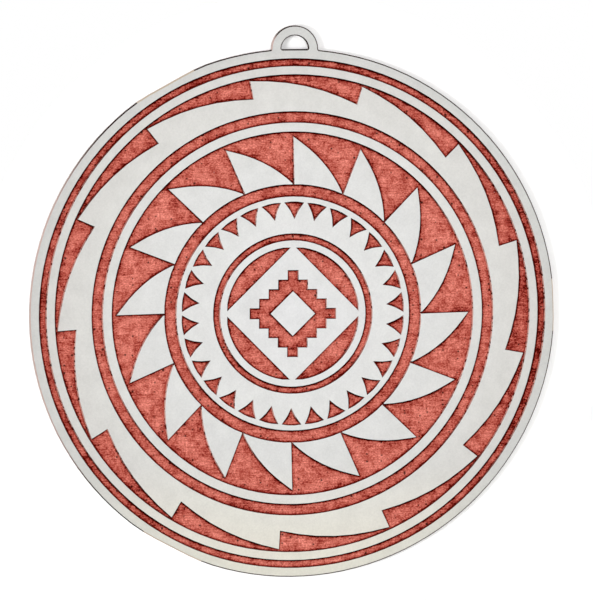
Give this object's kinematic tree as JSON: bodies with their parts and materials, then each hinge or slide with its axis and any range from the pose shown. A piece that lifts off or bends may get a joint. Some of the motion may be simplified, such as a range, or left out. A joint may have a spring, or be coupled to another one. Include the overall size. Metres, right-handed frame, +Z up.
{
  "type": "christmas ornament",
  "caption": "Flat round etched metal ornament with raised silver sun, sawtooth and ring bands on a red copper ground, hung by a loop with an eye at its top.",
  "frame": {"origin": "the top of the inside of the hanging eye, where a hook or cord bears, midway between front and back", "axes": "+Z up through the loop, the patterned front faces -Y, and +X is to the right of someone who faces it"},
  "size_m": [0.0761, 0.001, 0.0795],
  "materials": {
    "etched_copper": "etched, matt, mottled brick red",
    "satin_silver": "satin silver plate"
  },
  "bodies": {
    "root": {"copper_plate": "etched_copper", "back_face": "satin_silver", "rim_band": "satin_silver", "outer_line_ring": "satin_silver", "sawtooth_band": "satin_silver", "inner_line_ring": "satin_silver", "sun_ray_01": "satin_silver", "sun_ray_02": "satin_silver", "sun_ray_03": "satin_silver", "sun_ray_04": "satin_silver", "sun_ray_05": "satin_silver", "sun_ray_06": "satin_silver", "sun_ray_07": "satin_silver", "sun_ray_08": "satin_silver", "sun_ray_09": "satin_silver", "sun_ray_10": "satin_silver", "sun_ray_11": "satin_silver", "sun_ray_12": "satin_silver", "sun_ray_13": "satin_silver", "sun_ray_14": "satin_silver", "sun_ray_15": "satin_silver", "sun_ray_16": "satin_silver", "sunburst_ring": "satin_silver", "medallion": "satin_silver", "centre_diamond": "satin_silver"}
  },
  "joints": []
}
